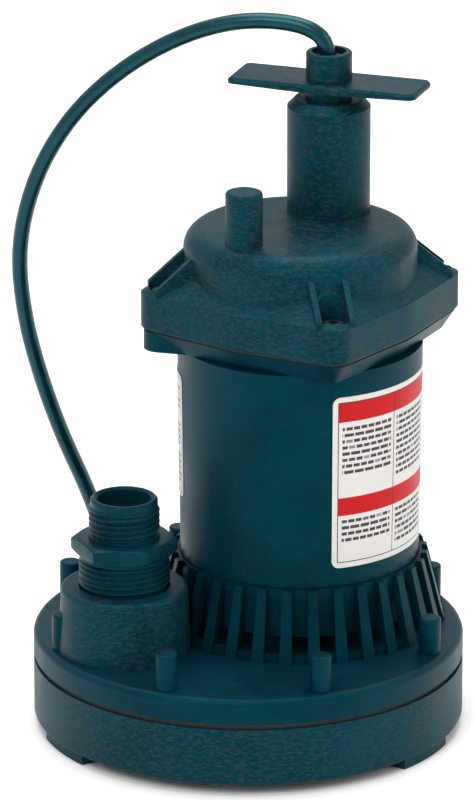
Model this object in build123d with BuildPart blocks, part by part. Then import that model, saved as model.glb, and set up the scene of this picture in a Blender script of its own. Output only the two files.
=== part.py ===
"""Submersible sump pump: a wet volute base, a sealed motor housing, its cap and handle, and its cord."""
import os
from math import cos, pi, radians, sin, tan

from build123d import *

os.makedirs("parts", exist_ok=True)

# Driving dimensions, in millimetres. The origin is the middle of the base on the floor, and +X runs
# from the discharge tower to the motor.
base_radius = 81.5
foot_height = 4.0
wall = 3.0
floor_top = foot_height + wall
rim_top = 26.4
flange_low = 28.4
roof_low = 34.0
flange_top = 38.0

motor_x = 22.0
tower_x = -52.6
chamber_radius = 44.0
passage_radius = 20.0
eye_radius = 22.0

tower_foot_radius = 25.2
tower_top_radius = 23.8
tower_top = 63.0
tower_bore = 14.0
thread_seat = 48.0
lower_thread_radius = 17.2
upper_thread_radius = 13.45
discharge_bore = 10.2
hex_low = 75.9
hex_top = 82.2
hex_flats = 35.0
nipple_top = 97.8

base_screw_count = 8
base_screw_start = 173
base_screw_circle = 74.6
base_screw_radius = 1.5
base_head_radius = 3.1
base_head_low = foot_height + 3.1
base_head_high = foot_height + 5.5
boss_radius = 4.1
boss_top = 52.0

screen_rib_count = 32
screen_slot = 6.1
screen_low = flange_top
screen_top = 65.0
screen_foot_radius = 55.5
screen_top_radius = 48.6
screen_wall = 3.2

post_circle = 39.6
post_radius = 4.2
post_angle = 45
post_bore = 1.9
post_screw_radius = 1.7
post_head_radius = 3.3
post_head_high = 2.6

body_low = 63.6
body_foot_radius = 45.2
body_top_radius = 46.3
body_bore = 43.0
body_floor = 69.6
tier_low = 149.0
tier_top = 156.5
insert_low = 152.0
insert_radius = 3.4
insert_bore = 2.0
cap_screw_hole = 2.4
gasket_thick = 1.0
tier_taper = 33
cap_low = tier_top + gasket_thick
cap_top = 171.0
pocket_floor = 168.0
wedge_height = 13.0
wedge_taper = 52
lug_reach = 53.0
lug_radius = 8.0
lug_angle = -15
cap_circle = 48.6

dome_radius = 43.9
dome_fillet = 8.0
dome_top = 193.0
rib_top = 185.8
dome_wall = 3.5
blind_boss_radius = 7.0
blind_boss_reach = 31.5
blind_boss_angle = 200
blind_boss_top = 213.5
neck_x = 41.0
neck_y = 13.0
neck_radius = 15.7
neck_top = 237.0
neck_chamfer = 3.0
neck_bore = 8.0

handle_length = 74.0
handle_width = 23.0
handle_angle = -47
bar_low = 241.2
bar_top = 244.2
bar_tip_thick = 2.2
hub_radius = 8.7
hub_top = 255.0
cup_radius = 6.5
cup_floor = 246.0

cord_diameter = 6.2
shaft_radius = 4.0
running_gap = 0.03
core_low = 92.0
core_high = 124.0
core_radius = 42.0
core_bore = 23.0
rotor_radius = 22.6
bolt_circle = 38.6
bolt_radius = 1.9
bracket_low = 142.0
bracket_high = 146.0

coil_x = 82.2
coil_y = 110.4
coil_radius = 33.1
coil_low = 1.2
coil_width = 19.0
coil_height = 18.4
tie_gap = 0.4
coil_turn = 62

motor_axis = Axis((motor_x, 0, 0), (0, 0, 1))


def save(piece, name):
    """Label one finished sub-part and write its STEP file."""
    piece.part.label = name
    export_step(piece.part, f"parts/{name}.step")


def ring(name, places, outer, inner, low, high):
    """A plain ring or disc at each place, from one height to another."""
    with BuildPart() as piece:
        with BuildSketch(Plane.XY.offset(low)):
            with Locations(*places):
                Circle(outer)
                if inner:
                    Circle(inner, mode=Mode.SUBTRACT)
        extrude(amount=high - low)
    save(piece, name)
    return piece


def around_motor(reach, count, start):
    """Places on a circle about the motor's axis."""
    turns = [radians(start + 360 * k / count) for k in range(count)]
    return [(motor_x + reach * cos(turn), reach * sin(turn)) for turn in turns]


def around_base(reach, count, start):
    """Places on a circle about the middle of the base."""
    turns = [radians(start + 360 * k / count) for k in range(count)]
    return [(reach * cos(turn), reach * sin(turn)) for turn in turns]


base_screws_at = around_base(base_screw_circle, base_screw_count, base_screw_start)
posts_at = around_motor(post_circle, 4, post_angle)
lugs_at = around_motor(lug_reach, 4, lug_angle)
bolts_at = around_motor(bolt_circle, 4, 0)
motor_at = [(motor_x, 0)]
tower_at = [(tower_x, 0)]
neck_at = [(neck_x, neck_y)]

# The volute's outline: the round impeller chamber and the passage to the tower, joined by tangents.
with BuildSketch() as volute:
    with Locations(*motor_at):
        Circle(chamber_radius)
    with Locations(*tower_at):
        Circle(passage_radius)
    make_hull()
with BuildSketch() as volute_wall:
    with Locations(*motor_at):
        Circle(chamber_radius + wall)
    with Locations(*tower_at):
        Circle(passage_radius + wall)
    make_hull()
    add(volute.sketch, mode=Mode.SUBTRACT)

# Base cover: the floor of the pump, its outer rim, the volute's wall, screw columns and three feet.
column_radius = 5.0
with BuildPart() as base_cover:
    with BuildSketch(Plane.XY.offset(foot_height)):
        Circle(base_radius)
    extrude(amount=wall)
    fillet(base_cover.edges().group_by(Axis.Z)[0], 1.5)
    with BuildSketch(Plane.XY.offset(floor_top)):
        Circle(base_radius)
        Circle(base_radius - wall, mode=Mode.SUBTRACT)
        with Locations(*base_screws_at):
            Circle(column_radius)
        add(volute.sketch, mode=Mode.SUBTRACT)
        add(volute_wall.sketch)
    extrude(amount=rim_top - floor_top)
    with BuildSketch():
        with PolarLocations(base_radius - 11, 3, start_angle=60):
            RectangleRounded(21, 30, 3)
        Circle(base_radius - 1.6, mode=Mode.INTERSECT)
    extrude(amount=foot_height)
    with BuildSketch():
        with Locations(*base_screws_at):
            Circle(base_screw_radius + 0.1)
    extrude(amount=rim_top, mode=Mode.SUBTRACT)
    with BuildSketch():
        with Locations(*base_screws_at):
            Circle(base_head_radius + 0.3)
    extrude(amount=base_head_high, mode=Mode.SUBTRACT)
save(base_cover, "base_cover")

# Gasket between the base cover and the volute housing, set back a little from the rim.
with BuildPart() as base_gasket:
    with BuildSketch(Plane.XY.offset(rim_top)):
        Circle(base_radius - 1.3)
        Circle(base_radius - wall, mode=Mode.SUBTRACT)
        with Locations(*base_screws_at):
            Circle(column_radius - 0.4)
        add(volute.sketch, mode=Mode.SUBTRACT)
        add(volute_wall.sketch)
        with Locations(*base_screws_at):
            Circle(base_screw_radius + 0.3, mode=Mode.SUBTRACT)
    extrude(amount=flange_low - rim_top)
save(base_gasket, "base_gasket")

# Pan-head screws that hold the base cover, driven up from below.
with BuildPart() as base_screws:
    with BuildSketch(Plane.XY.offset(base_head_low)):
        with Locations(*base_screws_at):
            Circle(base_head_radius)
    extrude(amount=base_head_high - base_head_low)
    with BuildSketch(Plane.XY.offset(base_head_high)):
        with Locations(*base_screws_at):
            Circle(base_screw_radius)
    extrude(amount=boss_top - 4 - base_head_high)
    with BuildSketch(Plane.XY.offset(base_head_low)):
        with Locations(*base_screws_at):
            Rectangle(3.6, 0.8)
            Rectangle(0.8, 3.6)
    extrude(amount=1.3, mode=Mode.SUBTRACT)
save(base_screws, "base_screws")

# Volute housing: flange and roof, with the inlet eye and the outlet under the tower.
with BuildPart() as volute_housing:
    with BuildSketch(Plane.XY.offset(flange_low)):
        Circle(base_radius)
    extrude(amount=flange_top - flange_low)
    fillet(volute_housing.edges().group_by(Axis.Z)[-1], 2.6)
    with BuildSketch(Plane.XY.offset(flange_low)):
        Circle(base_radius - wall - 1)
        with Locations(*base_screws_at):
            Circle(column_radius, mode=Mode.SUBTRACT)
        add(volute_wall.sketch, mode=Mode.SUBTRACT)
        add(volute.sketch)
    extrude(amount=roof_low - flange_low, mode=Mode.SUBTRACT)
    with BuildSketch(Plane.XY.offset(roof_low)):
        with Locations(*tower_at):
            Circle(tower_bore)
        with Locations(*motor_at):
            Circle(eye_radius)
        with Locations(*posts_at):
            Circle(post_bore)
    extrude(amount=flange_top - roof_low, mode=Mode.SUBTRACT)
    with BuildSketch(Plane.XY.offset(flange_low)):
        with Locations(*base_screws_at):
            Circle(base_screw_radius)
    extrude(amount=flange_top - flange_low, mode=Mode.SUBTRACT)
    with BuildSketch(Plane.XY.offset(roof_low)):
        with Locations(*posts_at):
            Circle(post_head_radius + 0.2)
    extrude(amount=post_head_high, mode=Mode.SUBTRACT)
save(volute_housing, "volute_housing")

# Discharge tower: a tapering socket for the adapter.
tower_align = (Align.CENTER, Align.CENTER, Align.MIN)
with BuildPart() as discharge_tower:
    with Locations((tower_x, 0, flange_top)):
        Cone(tower_foot_radius, tower_top_radius, tower_top - flange_top, align=tower_align)
    fillet(discharge_tower.edges().group_by(Axis.Z)[-1], 1.6)
    with BuildSketch(Plane.XY.offset(thread_seat)):
        with Locations(*tower_at):
            Circle(lower_thread_radius + 0.05)
    extrude(amount=tower_top - thread_seat, mode=Mode.SUBTRACT)
    with BuildSketch(Plane.XY.offset(flange_top)):
        with Locations(*tower_at):
            Circle(tower_bore)
        with Locations(*base_screws_at):
            Circle(boss_radius + 0.02)
    extrude(amount=thread_seat - flange_top, mode=Mode.SUBTRACT)
    with BuildSketch(Plane.XY.offset(thread_seat)):
        with Locations(*base_screws_at):
            Circle(boss_radius + 0.02)
    extrude(amount=boss_top - thread_seat + 0.02, mode=Mode.SUBTRACT)
save(discharge_tower, "discharge_tower")

# Blind bosses over the base screws, and the posts that hold the motor housing above the inlet eye.
with BuildPart() as screw_bosses:
    with BuildSketch(Plane.XY.offset(flange_top)):
        with Locations(*base_screws_at):
            Circle(boss_radius)
    extrude(amount=boss_top - flange_top)
    fillet(screw_bosses.edges().group_by(Axis.Z)[-1], 0.8)
    with BuildSketch(Plane.XY.offset(flange_top)):
        with Locations(*base_screws_at):
            Circle(base_screw_radius)
    extrude(amount=boss_top - 3 - flange_top, mode=Mode.SUBTRACT)
save(screw_bosses, "screw_bosses")
ring("standoff_posts", posts_at, post_radius, post_bore, flange_top, body_low)

# Discharge adapter: a lower thread in the tower, a hexagon for the wrench and the pipe thread above.
with BuildPart() as discharge_adapter:
    with BuildSketch(Plane.XY.offset(thread_seat)):
        with Locations(*tower_at):
            Circle(lower_thread_radius)
    extrude(amount=hex_low - thread_seat)
    with BuildSketch(Plane.XY.offset(hex_low)):
        with Locations(*tower_at):
            RegularPolygon(hex_flats / 2, 6, major_radius=False, rotation=28)
    extrude(amount=hex_top - hex_low)
    with BuildSketch(Plane.XY.offset(hex_top)):
        with Locations(*tower_at):
            Circle(upper_thread_radius)
    extrude(amount=nipple_top - hex_top)
    chamfer(discharge_adapter.edges().group_by(Axis.Z)[-1], 1.0)
    with BuildSketch(Plane.XY.offset(thread_seat)):
        with Locations(*tower_at):
            Circle(discharge_bore)
    extrude(amount=nipple_top - thread_seat, mode=Mode.SUBTRACT)
save(discharge_adapter, "discharge_adapter")

# Intake screen: upright tapering ribs round the inlet eye, joined by rings behind them and by the skirt
# that hangs inside, so that water turns under the skirt to reach the eye.
skirt_low = 46.0
skirt_outer = 46.2
skirt_thick = 1.8
band_inner = 53.6
slot_reach = 60.0
with BuildPart() as intake_screen:
    with BuildSketch(Plane.XZ):
        with BuildLine():
            Polyline(
                (motor_x + screen_foot_radius - screen_wall - 0.6, screen_low),
                (motor_x + screen_foot_radius, screen_low),
                (motor_x + screen_top_radius, screen_top),
                (motor_x + body_foot_radius + 0.35, screen_top),
                (motor_x + body_foot_radius + 0.25, body_low),
                (motor_x + skirt_outer - skirt_thick, body_low),
                (motor_x + skirt_outer - skirt_thick, skirt_low),
                (motor_x + skirt_outer, skirt_low),
                (motor_x + skirt_outer, skirt_low + 14),
                close=True,
            )
        make_face()
    revolve(axis=motor_axis)
    slot_low = screen_low + 3.2
    slot_high = body_low - 2.6
    cuts = (
        (screen_low, slot_low, band_inner, slot_reach),
        (slot_low, slot_high, skirt_outer - 0.3, slot_reach),
        (slot_high, screen_top, skirt_outer + 0.3, slot_reach),
    )
    for low, high, inner, outer in cuts:
        with BuildSketch(Plane.XY.offset(low)):
            with Locations(*motor_at):
                middle = (inner + outer) / 2
                with PolarLocations(middle, screen_rib_count, start_angle=180 / screen_rib_count):
                    Rectangle(outer - inner, screen_slot)
        extrude(amount=high - low, mode=Mode.SUBTRACT)
    with Locations((tower_x, 0, screen_low)):
        Cylinder(tower_foot_radius + 0.3, 40, align=tower_align, mode=Mode.SUBTRACT)
    with BuildSketch(Plane.XY.offset(screen_low)):
        with Locations(*base_screws_at):
            Circle(boss_radius + 0.2)
    extrude(amount=boss_top + 0.3 - screen_low, mode=Mode.SUBTRACT)
save(intake_screen, "intake_screen")

# Motor housing: a closed-bottomed can with the seal's neck below and the cap's flange above.
seal_neck_low = 50.0
seal_neck_radius = 14.0
seal_neck_bore = 11.0
bearing_boss_radius = 12.0
pillar_radius = 4.8
screw_pillar_radius = 4.0
with BuildPart() as motor_housing:
    with Locations((motor_x, 0, body_low)):
        Cone(body_foot_radius, body_top_radius, tier_low - body_low, align=tower_align)
    with BuildSketch(Plane.XY.offset(tier_top)):
        with Locations(*lugs_at):
            Circle(lug_radius - 1.2)
        with Locations(*motor_at):
            Circle(cap_circle - 0.8)
        make_hull()
    extrude(amount=tier_top - tier_low, dir=(0, 0, -1), taper=tier_taper)
    with BuildSketch(Plane.XY.offset(tier_low)):
        with Locations(lugs_at[2]):
            Circle(lug_radius - 1.0)
        with Locations(*around_motor(20, 1, lug_angle + 180)):
            Circle(22)
        make_hull()
    extrude(amount=tier_top - tier_low)
    with BuildSketch(Plane.XY.offset(seal_neck_low)):
        with Locations(*motor_at):
            Circle(seal_neck_radius)
    extrude(amount=body_low - seal_neck_low)
    with BuildSketch(Plane.XY.offset(body_floor)):
        with Locations(*motor_at):
            Circle(body_bore)
    extrude(amount=tier_top - body_floor, mode=Mode.SUBTRACT)
    with BuildSketch(Plane.XY.offset(body_floor)):
        with Locations(*motor_at):
            Circle(bearing_boss_radius)
    extrude(amount=8.4)
    with BuildSketch(Plane.XY.offset(body_floor)):
        with Locations(*posts_at):
            Circle(screw_pillar_radius)
    extrude(amount=7.6)
    with BuildSketch(Plane.XY.offset(body_floor)):
        with Locations(*bolts_at):
            Circle(pillar_radius)
    extrude(amount=core_low - body_floor)
    with BuildSketch(Plane.XY.offset(core_low - 12)):
        with Locations(*bolts_at):
            Circle(bolt_radius)
    extrude(amount=12, mode=Mode.SUBTRACT)
    with BuildSketch(Plane.XY.offset(body_low)):
        with Locations(*posts_at):
            Circle(post_screw_radius)
    extrude(amount=11, mode=Mode.SUBTRACT)
    with BuildSketch(Plane.XY.offset(insert_low)):
        with Locations(*lugs_at):
            Circle(insert_radius)
    extrude(amount=tier_top - insert_low, mode=Mode.SUBTRACT)
    with BuildSketch(Plane.XY.offset(seal_neck_low)):
        with Locations(*motor_at):
            Circle(seal_neck_bore)
    extrude(amount=body_low - seal_neck_low, mode=Mode.SUBTRACT)
    with BuildSketch(Plane.XY.offset(body_low)):
        with Locations(*motor_at):
            Circle(5.2)
    extrude(amount=20, mode=Mode.SUBTRACT)
    with BuildSketch(Plane.XY.offset(body_floor + 0.4)):
        with Locations(*motor_at):
            Circle(8)
    extrude(amount=8, mode=Mode.SUBTRACT)
save(motor_housing, "motor_housing")

# Screws that clamp the housing onto the standoff posts, from inside the volute.
with BuildPart() as motor_mount_screws:
    with BuildSketch(Plane.XY.offset(roof_low + 0.3)):
        with Locations(*posts_at):
            Circle(post_head_radius)
    extrude(amount=post_head_high - 0.3)
    with BuildSketch(Plane.XY.offset(roof_low + post_head_high)):
        with Locations(*posts_at):
            Circle(post_screw_radius)
    extrude(amount=body_low + 10 - roof_low - post_head_high)
save(motor_mount_screws, "motor_mount_screws")

# Shaft bearings: two plain bushes, one in the housing's floor and one in the upper bracket.
bush_bore = shaft_radius + running_gap
bush_radius = 8.0
ring("lower_bearing", motor_at, bush_radius, bush_bore, body_floor + 0.4, body_floor + 8.4)
ring("upper_bearing", motor_at, bush_radius, bush_bore, bracket_low - 3, bracket_high + 4)

# Shaft seal: a fixed seat in the neck, and a turning head pushed against it by a spring.
seat_low = 59.6
ring("seal_seat", motor_at, seal_neck_bore, 5.4, seat_low, body_low)
ring("seal_head", motor_at, 9.2, shaft_radius, seat_low - 4, seat_low - 0.03)
spring_turns = 3
spring_pitch = 3.0
with BuildPart() as seal_spring:
    with BuildLine():
        Helix(spring_pitch, spring_pitch * spring_turns, 7.2, center=(motor_x, 0, seat_low - 14.2))
    with BuildSketch(Plane(origin=(motor_x + 7.2, 0, seat_low - 14.2), z_dir=(0, 1, 0.066))):
        Circle(0.6)
    sweep(is_frenet=True)
save(seal_spring, "seal_spring")
ring("seal_retainer", motor_at, 9.2, shaft_radius, seat_low - 16.4, seat_low - 14.9)

# Shaft, from the impeller's nut to above the upper bearing, with a thread at its lower end.
shaft_low = 13.0
shaft_top = 152.5
with BuildPart() as shaft:
    with BuildSketch(Plane.XY.offset(shaft_low)):
        with Locations(*motor_at):
            Circle(shaft_radius)
    extrude(amount=shaft_top - shaft_low)
    chamfer(shaft.edges().group_by(Axis.Z)[-1], 0.5)
    chamfer(shaft.edges().group_by(Axis.Z)[0], 0.5)
save(shaft, "shaft")

# Impeller: a shroud below, five swept vanes that open up to the inlet eye, and a hub.
vane_count = 5
shroud_low = 16.0
vane_top = 32.4
impeller_radius = 37.0
with BuildSketch() as vane:
    with BuildLine():
        ThreePointArc((7, 0), (24, -6), (34, -22))
    trace(line_width=2.6)
    Circle(impeller_radius - 1, mode=Mode.INTERSECT)
    Circle(7, mode=Mode.SUBTRACT)
with BuildPart() as impeller:
    with BuildSketch(Plane.XY.offset(shroud_low)):
        with Locations(*motor_at):
            Circle(impeller_radius)
    extrude(amount=2.6)
    with BuildSketch(Plane.XY.offset(shroud_low)):
        with Locations(*motor_at):
            Circle(9)
    extrude(amount=vane_top - shroud_low)
    with BuildSketch(Plane.XY.offset(shroud_low + 2.6)):
        with Locations(*motor_at):
            with PolarLocations(0, vane_count):
                add(vane.sketch)
    extrude(amount=vane_top - shroud_low - 2.6)
    with BuildSketch(Plane.XY.offset(shroud_low)):
        with Locations(*motor_at):
            Circle(shaft_radius)
    extrude(amount=vane_top - shroud_low, mode=Mode.SUBTRACT)
save(impeller, "impeller")

# Nut and washer under the impeller.
with BuildPart() as impeller_nut:
    with BuildSketch(Plane.XY.offset(shroud_low - 5.6)):
        with Locations(*motor_at):
            RegularPolygon(6.4, 6, major_radius=False)
    extrude(amount=4.6)
    with BuildSketch(Plane.XY.offset(shroud_low - 1)):
        with Locations(*motor_at):
            Circle(8)
    extrude(amount=1)
    with BuildSketch(Plane.XY.offset(shaft_low)):
        with Locations(*motor_at):
            Circle(shaft_radius)
    extrude(amount=5, mode=Mode.SUBTRACT)
save(impeller_nut, "impeller_nut")

# Motor: laminated stator core with its slots, the copper end windings, and the squirrel-cage rotor.
slot_count = 18
with BuildPart() as stator_core:
    with BuildSketch(Plane.XY.offset(core_low)):
        with Locations(*motor_at):
            Circle(core_radius)
            Circle(core_bore, mode=Mode.SUBTRACT)
            with PolarLocations(28.6, slot_count, start_angle=10):
                RectangleRounded(9, 4.4, 1.6, mode=Mode.SUBTRACT)
        with Locations(*bolts_at):
            Circle(bolt_radius + 0.15, mode=Mode.SUBTRACT)
    extrude(amount=core_high - core_low)
save(stator_core, "stator_core")
winding_depth = 12.0
for name, low in (("winding_lower", core_low - winding_depth), ("winding_upper", core_high)):
    with BuildPart() as winding:
        with BuildSketch(Plane.XY.offset(low)):
            with Locations(*motor_at):
                Circle(33.6)
                Circle(25, mode=Mode.SUBTRACT)
        extrude(amount=winding_depth)
        fillet(winding.edges(), 3.2)
    save(winding, name)
ring("rotor_core", motor_at, rotor_radius, shaft_radius, core_low, core_high)
with BuildPart() as rotor_rings:
    for low in (core_low - 4, core_high):
        with BuildSketch(Plane.XY.offset(low)):
            with Locations(*motor_at):
                Circle(rotor_radius - 0.6)
                Circle(13, mode=Mode.SUBTRACT)
        extrude(amount=4)
save(rotor_rings, "rotor_rings")
ring("thrust_washers", motor_at, 7, shaft_radius, body_floor + 8.5, body_floor + 9.7)

# Spacers and long bolts that clamp the core and the bracket down on the housing's pillars.
ring("bolt_spacers", bolts_at, 4.0, bolt_radius + 0.15, core_high, bracket_low)
with BuildPart() as stator_bolts:
    with BuildSketch(Plane.XY.offset(core_low - 11)):
        with Locations(*bolts_at):
            Circle(bolt_radius)
    extrude(amount=bracket_high - core_low + 11)
    with BuildSketch(Plane.XY.offset(bracket_high)):
        with Locations(*bolts_at):
            RegularPolygon(3.4, 6, major_radius=False)
    extrude(amount=2.6)
save(stator_bolts, "stator_bolts")

# Bearing bracket: a spider with a hub for the upper bearing.
with BuildPart() as bearing_bracket:
    with BuildSketch(Plane.XY.offset(bracket_low)):
        with Locations(*motor_at):
            Circle(42)
            with PolarLocations(25, 4, start_angle=45):
                RectangleRounded(16, 20, 4, mode=Mode.SUBTRACT)
        with Locations(*bolts_at):
            Circle(bolt_radius + 0.15, mode=Mode.SUBTRACT)
    extrude(amount=bracket_high - bracket_low)
    with BuildSketch(Plane.XY.offset(bracket_low - 3)):
        with Locations(*motor_at):
            Circle(12)
    extrude(amount=bracket_high - bracket_low + 7)
    with BuildSketch(Plane.XY.offset(bracket_low - 3)):
        with Locations(*motor_at):
            Circle(bush_radius)
    extrude(amount=bracket_high - bracket_low + 7, mode=Mode.SUBTRACT)
save(bearing_bracket, "bearing_bracket")

# Run capacitor lying on the bracket, the strap that holds it, and the thermal protector.
can_radius = 8.5
can_length = 40.0
can_y = 24.0
can_z = bracket_high + can_radius
with BuildPart() as run_capacitor:
    with BuildSketch(Plane.YZ.offset(motor_x - can_length / 2)):
        with Locations((can_y, can_z)):
            Circle(can_radius)
    extrude(amount=can_length)
    fillet(run_capacitor.edges().filter_by(GeomType.CIRCLE), 1.2)
save(run_capacitor, "run_capacitor")
with BuildPart() as capacitor_strap:
    with BuildSketch(Plane.YZ.offset(motor_x + 7)):
        with Locations((can_y, can_z)):
            Circle(can_radius + 1.1)
            Circle(can_radius + 0.1, mode=Mode.SUBTRACT)
        with Locations((can_y, can_z - can_radius)):
            Rectangle(30, can_radius, mode=Mode.SUBTRACT)
        for side in (-1, 1):
            with Locations((can_y + side * (can_radius + 2.6), bracket_high + 0.5)):
                Rectangle(5, 1)
            with Locations((can_y + side * (can_radius + 0.6), can_z - 4)):
                Rectangle(1, 9)
    extrude(amount=8)
save(capacitor_strap, "capacitor_strap")
with BuildPart() as thermal_protector:
    with BuildSketch(Plane.XY.offset(bracket_high)):
        with Locations((motor_x, -23)):
            RectangleRounded(17, 9, 2)
    extrude(amount=6)
    fillet(thermal_protector.edges().group_by(Axis.Z)[-1], 1.2)
save(thermal_protector, "thermal_protector")

# Cap gasket, and the brass inserts that the cap's screws thread into.
with BuildPart() as cap_gasket:
    with BuildSketch(Plane.XY.offset(tier_top)):
        with Locations(*lugs_at):
            Circle(lug_radius - 1.6)
        with Locations(*motor_at):
            Circle(cap_circle - 1.2)
        make_hull()
        with Locations(*motor_at):
            Circle(body_bore, mode=Mode.SUBTRACT)
        with Locations(*lugs_at):
            Circle(cap_screw_hole, mode=Mode.SUBTRACT)
    extrude(amount=gasket_thick)
save(cap_gasket, "cap_gasket")
ring("cap_inserts", lugs_at, insert_radius, insert_bore, insert_low, tier_top)

# Top cap: flange with four lugs, dome, blind boss, the neck for the cord, and gusset ribs.
dome_low = cap_top - 1
with BuildPart() as top_cap:
    with BuildSketch(Plane.XY.offset(cap_low)):
        with Locations(*lugs_at):
            Circle(lug_radius)
        with Locations(*motor_at):
            Circle(cap_circle)
        make_hull()
    extrude(amount=cap_top - cap_low)
    fillet(top_cap.edges().group_by(Axis.Z)[0], 0.8)
    with BuildSketch(Plane.XY.offset(cap_top)):
        with Locations(*lugs_at):
            Circle(lug_radius - 0.6)
        with Locations(*motor_at):
            Circle(cap_circle - 0.6)
        make_hull()
    extrude(amount=wedge_height, taper=wedge_taper)
    with BuildSketch(Plane.XY.offset(dome_low)):
        with Locations(*motor_at):
            Circle(dome_radius)
    extrude(amount=dome_top - dome_low)
    fillet(top_cap.edges().group_by(Axis.Z)[-1], dome_fillet)
    with BuildSketch(Plane.XY.offset(dome_top - dome_fillet)):
        with Locations(*neck_at):
            Circle(neck_radius)
    extrude(amount=neck_top - dome_top + dome_fillet)
    chamfer(top_cap.edges().group_by(Axis.Z)[-1], neck_chamfer)
    with BuildSketch(Plane.XY.offset(dome_top - dome_fillet)):
        with Locations(*around_motor(blind_boss_reach, 1, blind_boss_angle)):
            Circle(blind_boss_radius)
    extrude(amount=blind_boss_top - dome_top + dome_fillet)
    fillet(top_cap.edges().filter_by(lambda edge: abs(edge.center().Z - blind_boss_top) < 0.01), 1.2)
    for k in range(4):
        turn = lug_angle + 90 * k
        for side in (-1, 1):
            radial = Vector(1, 0, 0).rotate(Axis.Z, turn)
            tangent = Vector(0, 1, 0).rotate(Axis.Z, turn)
            rib_foot = Vector(motor_x, 0, 0) + tangent * (side * 6.4)
            rib_plane = Plane(origin=rib_foot, x_dir=radial, z_dir=-tangent)
            with BuildSketch(rib_plane):
                with BuildLine():
                    Polyline(
                        (36, cap_top - 2),
                        (57, cap_top - 2),
                        (57, cap_top + 2.4),
                        (42.5, rib_top),
                        (36, rib_top),
                        close=True,
                    )
                make_face()
            extrude(amount=1.1, both=True)
    with BuildSketch(Plane.XZ):
        with BuildLine():
            inner = dome_radius - dome_wall
            crown = dome_top - dome_wall
            bend = dome_fillet - dome_wall
            bend_start = (motor_x + inner, crown - bend)
            Polyline((motor_x, crown), (motor_x, cap_low), (motor_x + inner, cap_low), bend_start)
            RadiusArc(bend_start, (motor_x + inner - bend, crown), -bend)
            Line((motor_x + inner - bend, crown), (motor_x, crown))
        make_face()
    revolve(axis=motor_axis, mode=Mode.SUBTRACT)
    with BuildSketch(Plane.XY.offset(dome_top - dome_wall - 2)):
        with Locations(*neck_at):
            Circle(neck_bore)
    extrude(amount=neck_top - dome_top + dome_wall + 2, mode=Mode.SUBTRACT)
    with BuildSketch(Plane.XY.offset(cap_low)):
        with Locations(*lugs_at):
            Circle(cap_screw_hole)
    extrude(amount=pocket_floor - cap_low, mode=Mode.SUBTRACT)
    with BuildSketch(Plane.XY.offset(pocket_floor)):
        with Locations(*motor_at):
            with PolarLocations(51.8, 4, start_angle=lug_angle):
                RectangleRounded(12.4, 10.4, 4.0)
    extrude(amount=26, mode=Mode.SUBTRACT)
save(top_cap, "top_cap")

# Cap screws with their washers.
ring("cap_washers", lugs_at, 4.8, 2.3, pocket_floor, pocket_floor + 0.9)
with BuildPart() as cap_screws:
    with BuildSketch(Plane.XY.offset(insert_low + 0.5)):
        with Locations(*lugs_at):
            Circle(insert_bore)
    extrude(amount=pocket_floor + 0.4 - insert_low)
    with BuildSketch(Plane.XY.offset(pocket_floor + 0.9)):
        with Locations(*lugs_at):
            Circle(4.0)
    extrude(amount=3.0)
    fillet(cap_screws.edges().group_by(Axis.Z)[-1], 0.9)
    with BuildSketch(Plane.XY.offset(pocket_floor + 2.3)):
        with Locations(*lugs_at):
            RegularPolygon(1.7, 6, major_radius=False)
    extrude(amount=1.6, mode=Mode.SUBTRACT)
save(cap_screws, "cap_screws")

# Handle: a flat cross-bar, thinner towards its tips, on a hub that the cord comes out of.
bar_turn = radians(handle_angle)
bar_plane = Plane(
    origin=(neck_x, neck_y, 0),
    x_dir=(cos(bar_turn), sin(bar_turn), 0),
    z_dir=(sin(bar_turn), -cos(bar_turn), 0),
)
with BuildPart() as handle:
    with BuildSketch(bar_plane):
        with BuildLine():
            Polyline(
                (-handle_length / 2, bar_top - bar_tip_thick),
                (-hub_radius, bar_low),
                (hub_radius, bar_low),
                (handle_length / 2, bar_top - bar_tip_thick),
                (handle_length / 2, bar_top),
                (-handle_length / 2, bar_top),
                close=True,
            )
        make_face()
    extrude(amount=handle_width / 2, both=True)
    fillet(handle.edges().filter_by(Axis.Z), 3.0)
    chamfer(handle.edges().group_by(Axis.Z)[-1], 1.0)
    with BuildSketch(Plane.XY.offset(neck_top)):
        with Locations(*neck_at):
            Circle(hub_radius)
    extrude(amount=hub_top - neck_top)
    fillet(handle.edges().group_by(Axis.Z)[-1], 0.9)
    with BuildSketch(Plane.XY.offset(neck_top)):
        with Locations(*neck_at):
            Circle(cord_diameter / 2 + 0.3)
    extrude(amount=hub_top - neck_top, mode=Mode.SUBTRACT)
    with BuildSketch(Plane.XY.offset(cup_floor)):
        with Locations(*neck_at):
            Circle(cup_radius)
    extrude(amount=hub_top - cup_floor, mode=Mode.SUBTRACT)
save(handle, "handle")

# Rubber grommet in the hub's cup, the cord's length inside the neck and its clamp nut.
with BuildPart() as cord_grommet:
    with BuildSketch(Plane.XY.offset(cup_floor)):
        with Locations(*neck_at):
            Circle(cup_radius)
    extrude(amount=hub_top - 2.2 - cup_floor)
    fillet(cord_grommet.edges().group_by(Axis.Z)[-1], 1.5)
    with BuildSketch(Plane.XY.offset(cup_floor)):
        with Locations(*neck_at):
            Circle(cord_diameter / 2)
    extrude(amount=hub_top - cup_floor, mode=Mode.SUBTRACT)
save(cord_grommet, "cord_grommet")
jacket_end = dome_top - dome_wall - 4
ring("inner_cord", neck_at, cord_diameter / 2, 0, jacket_end, cup_floor)
ring("cord_clamp", neck_at, neck_bore, cord_diameter / 2, neck_top - 26, neck_top - 12)

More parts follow.
